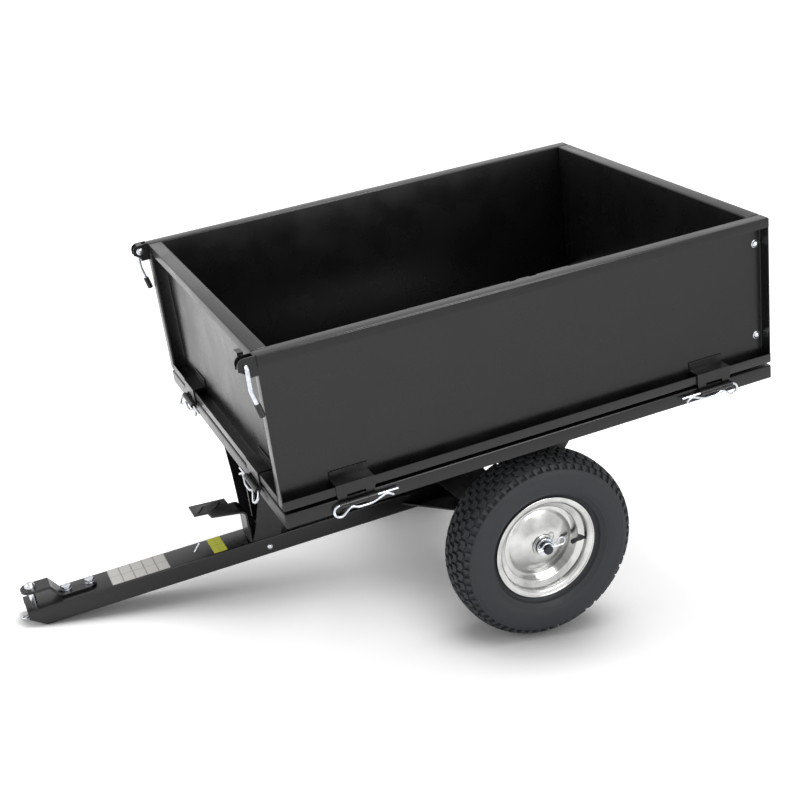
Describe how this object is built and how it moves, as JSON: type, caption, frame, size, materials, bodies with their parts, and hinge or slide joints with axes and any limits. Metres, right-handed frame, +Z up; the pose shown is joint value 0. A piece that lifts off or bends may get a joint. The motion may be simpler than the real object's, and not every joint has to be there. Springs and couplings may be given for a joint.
{
  "type": "tipping dump cart",
  "caption": "Two-wheeled steel tipping cart for a small tractor: drop-side bed on an axle pivot, foot latch, drawbar with pin hitch.",
  "frame": {"origin": "on the floor, at the middle of the cart's bounding box", "axes": "+X points to the rear of the cart and -X to the hitch, -Y is the cart's side that the picture shows, +Z is up"},
  "size_m": [1.4488, 0.838, 0.8542],
  "materials": {
    "black_paint": "satin black powder coat on sheet and plate steel",
    "zinc_plate": "bright zinc plating on bolts, pins and spring clips",
    "wheel_rim": "silver wheel rim, pressed and lightly brushed",
    "tyre_rubber": "grey black turf tyre rubber",
    "black_rubber": "moulded black rubber and plastic: grips, pads, bushes, valves"
  },
  "bodies": {
    "chassis": {"drawbar": "black_paint", "axle_sleeve": "black_paint", "axle_braces": "black_paint", "axle": "zinc_plate", "axle_spacers": "zinc_plate", "axle_washers": "zinc_plate", "axle_clips": "zinc_plate", "bed_rest": "black_paint", "rest_pads": "black_rubber", "rest_bolt": "zinc_plate", "anchor_pin": "zinc_plate", "hitch_strap": "black_paint", "hitch_bolts": "zinc_plate", "pedal_pin": "zinc_plate"},
    "hitch_pin": {"hitch_pin": "zinc_plate", "hitch_pin_clip": "zinc_plate"},
    "pedal": {"latch_pedal": "black_paint", "pedal_spring": "zinc_plate"},
    "bed": {"tray": "black_paint", "tray_channels": "black_paint", "left_pivot_plate": "black_paint", "right_pivot_plate": "black_paint", "pivot_bushes": "black_rubber", "striker": "black_paint", "tray_knuckles": "black_paint", "left_hinge_clips": "zinc_plate", "right_hinge_clips": "zinc_plate", "front_hinge_clips": "zinc_plate", "rear_hinge_clips": "zinc_plate"},
    "left_side": {"left_panel": "black_paint", "left_panel_hinges": "black_paint", "left_panel_bolts": "zinc_plate", "left_latch_bracket": "black_paint"},
    "right_side": {"right_panel": "black_paint", "right_panel_hinges": "black_paint", "right_panel_bolts": "zinc_plate", "right_latch_bracket": "black_paint"},
    "front_side": {"front_panel": "black_paint", "front_panel_hinges": "black_paint"},
    "rear_side": {"rear_panel": "black_paint", "rear_panel_hinges": "black_paint"},
    "left_latch": {"left_latch_lever": "zinc_plate", "left_latch_finger": "black_paint", "left_latch_bolt": "zinc_plate", "left_latch_grip": "black_rubber"},
    "right_latch": {"right_latch_lever": "zinc_plate", "right_latch_finger": "black_paint", "right_latch_bolt": "zinc_plate", "right_latch_grip": "black_rubber"},
    "left_wheel": {"left_tyre": "tyre_rubber", "left_rim": "wheel_rim", "left_hub": "wheel_rim", "left_hub_bushes": "black_rubber", "left_valve": "black_rubber"},
    "right_wheel": {"right_tyre": "tyre_rubber", "right_rim": "wheel_rim", "right_hub": "wheel_rim", "right_hub_bushes": "black_rubber", "right_valve": "black_rubber"}
  },
  "joints": [
    {"name": "bed_tip", "type": "hinge", "parent": "chassis", "child": "bed", "pos_m": [0.24567, 0, 0.196], "axis": [0, 1, 0], "range_deg": [0, 48]},
    {"name": "left_wheel_spin", "type": "hinge", "parent": "chassis", "child": "left_wheel", "pos_m": [0.24567, -0.341, 0.196], "axis": [0, 1, 0], "continuous": true},
    {"name": "right_wheel_spin", "type": "hinge", "parent": "chassis", "child": "right_wheel", "pos_m": [0.24567, 0.341, 0.196], "axis": [0, 1, 0], "continuous": true},
    {"name": "left_side_fold", "type": "hinge", "parent": "bed", "child": "left_side", "pos_m": [0.19835, -0.413, 0.44454], "axis": [0.9824, 0, 0.187], "range_deg": [0, 170]},
    {"name": "right_side_fold", "type": "hinge", "parent": "bed", "child": "right_side", "pos_m": [0.19835, 0.413, 0.44454], "axis": [-0.9824, 0, -0.187], "range_deg": [0, 170]},
    {"name": "front_panel_fold", "type": "hinge", "parent": "bed", "child": "front_side", "pos_m": [-0.32033, 0, 0.34579], "axis": [0, -1, 0], "range_deg": [0, 130]},
    {"name": "rear_panel_fold", "type": "hinge", "parent": "bed", "child": "rear_side", "pos_m": [0.71704, 0, 0.54328], "axis": [0, 1, 0], "range_deg": [0, 170]},
    {"name": "left_latch_swing", "type": "hinge", "parent": "left_side", "child": "left_latch", "pos_m": [-0.38916, -0.3915, 0.64317], "axis": [0, 1, 0], "range_deg": [0, 95]},
    {"name": "right_latch_swing", "type": "hinge", "parent": "right_side", "child": "right_latch", "pos_m": [-0.38916, 0.3915, 0.64317], "axis": [0, 1, 0], "range_deg": [0, 95]},
    {"name": "pedal_press", "type": "hinge", "parent": "chassis", "child": "pedal", "pos_m": [-0.22899, -0.021, 0.14941], "axis": [0, -1, 0], "range_deg": [0, 6], "stiffness_Nm_per_rad": 6, "springref_deg": -17.19},
    {"name": "hitch_pin_lift", "type": "slide", "parent": "chassis", "child": "hitch_pin", "axis": [-0.187, 0, 0.9824], "range_m": [0, 0.017]}
  ]
}
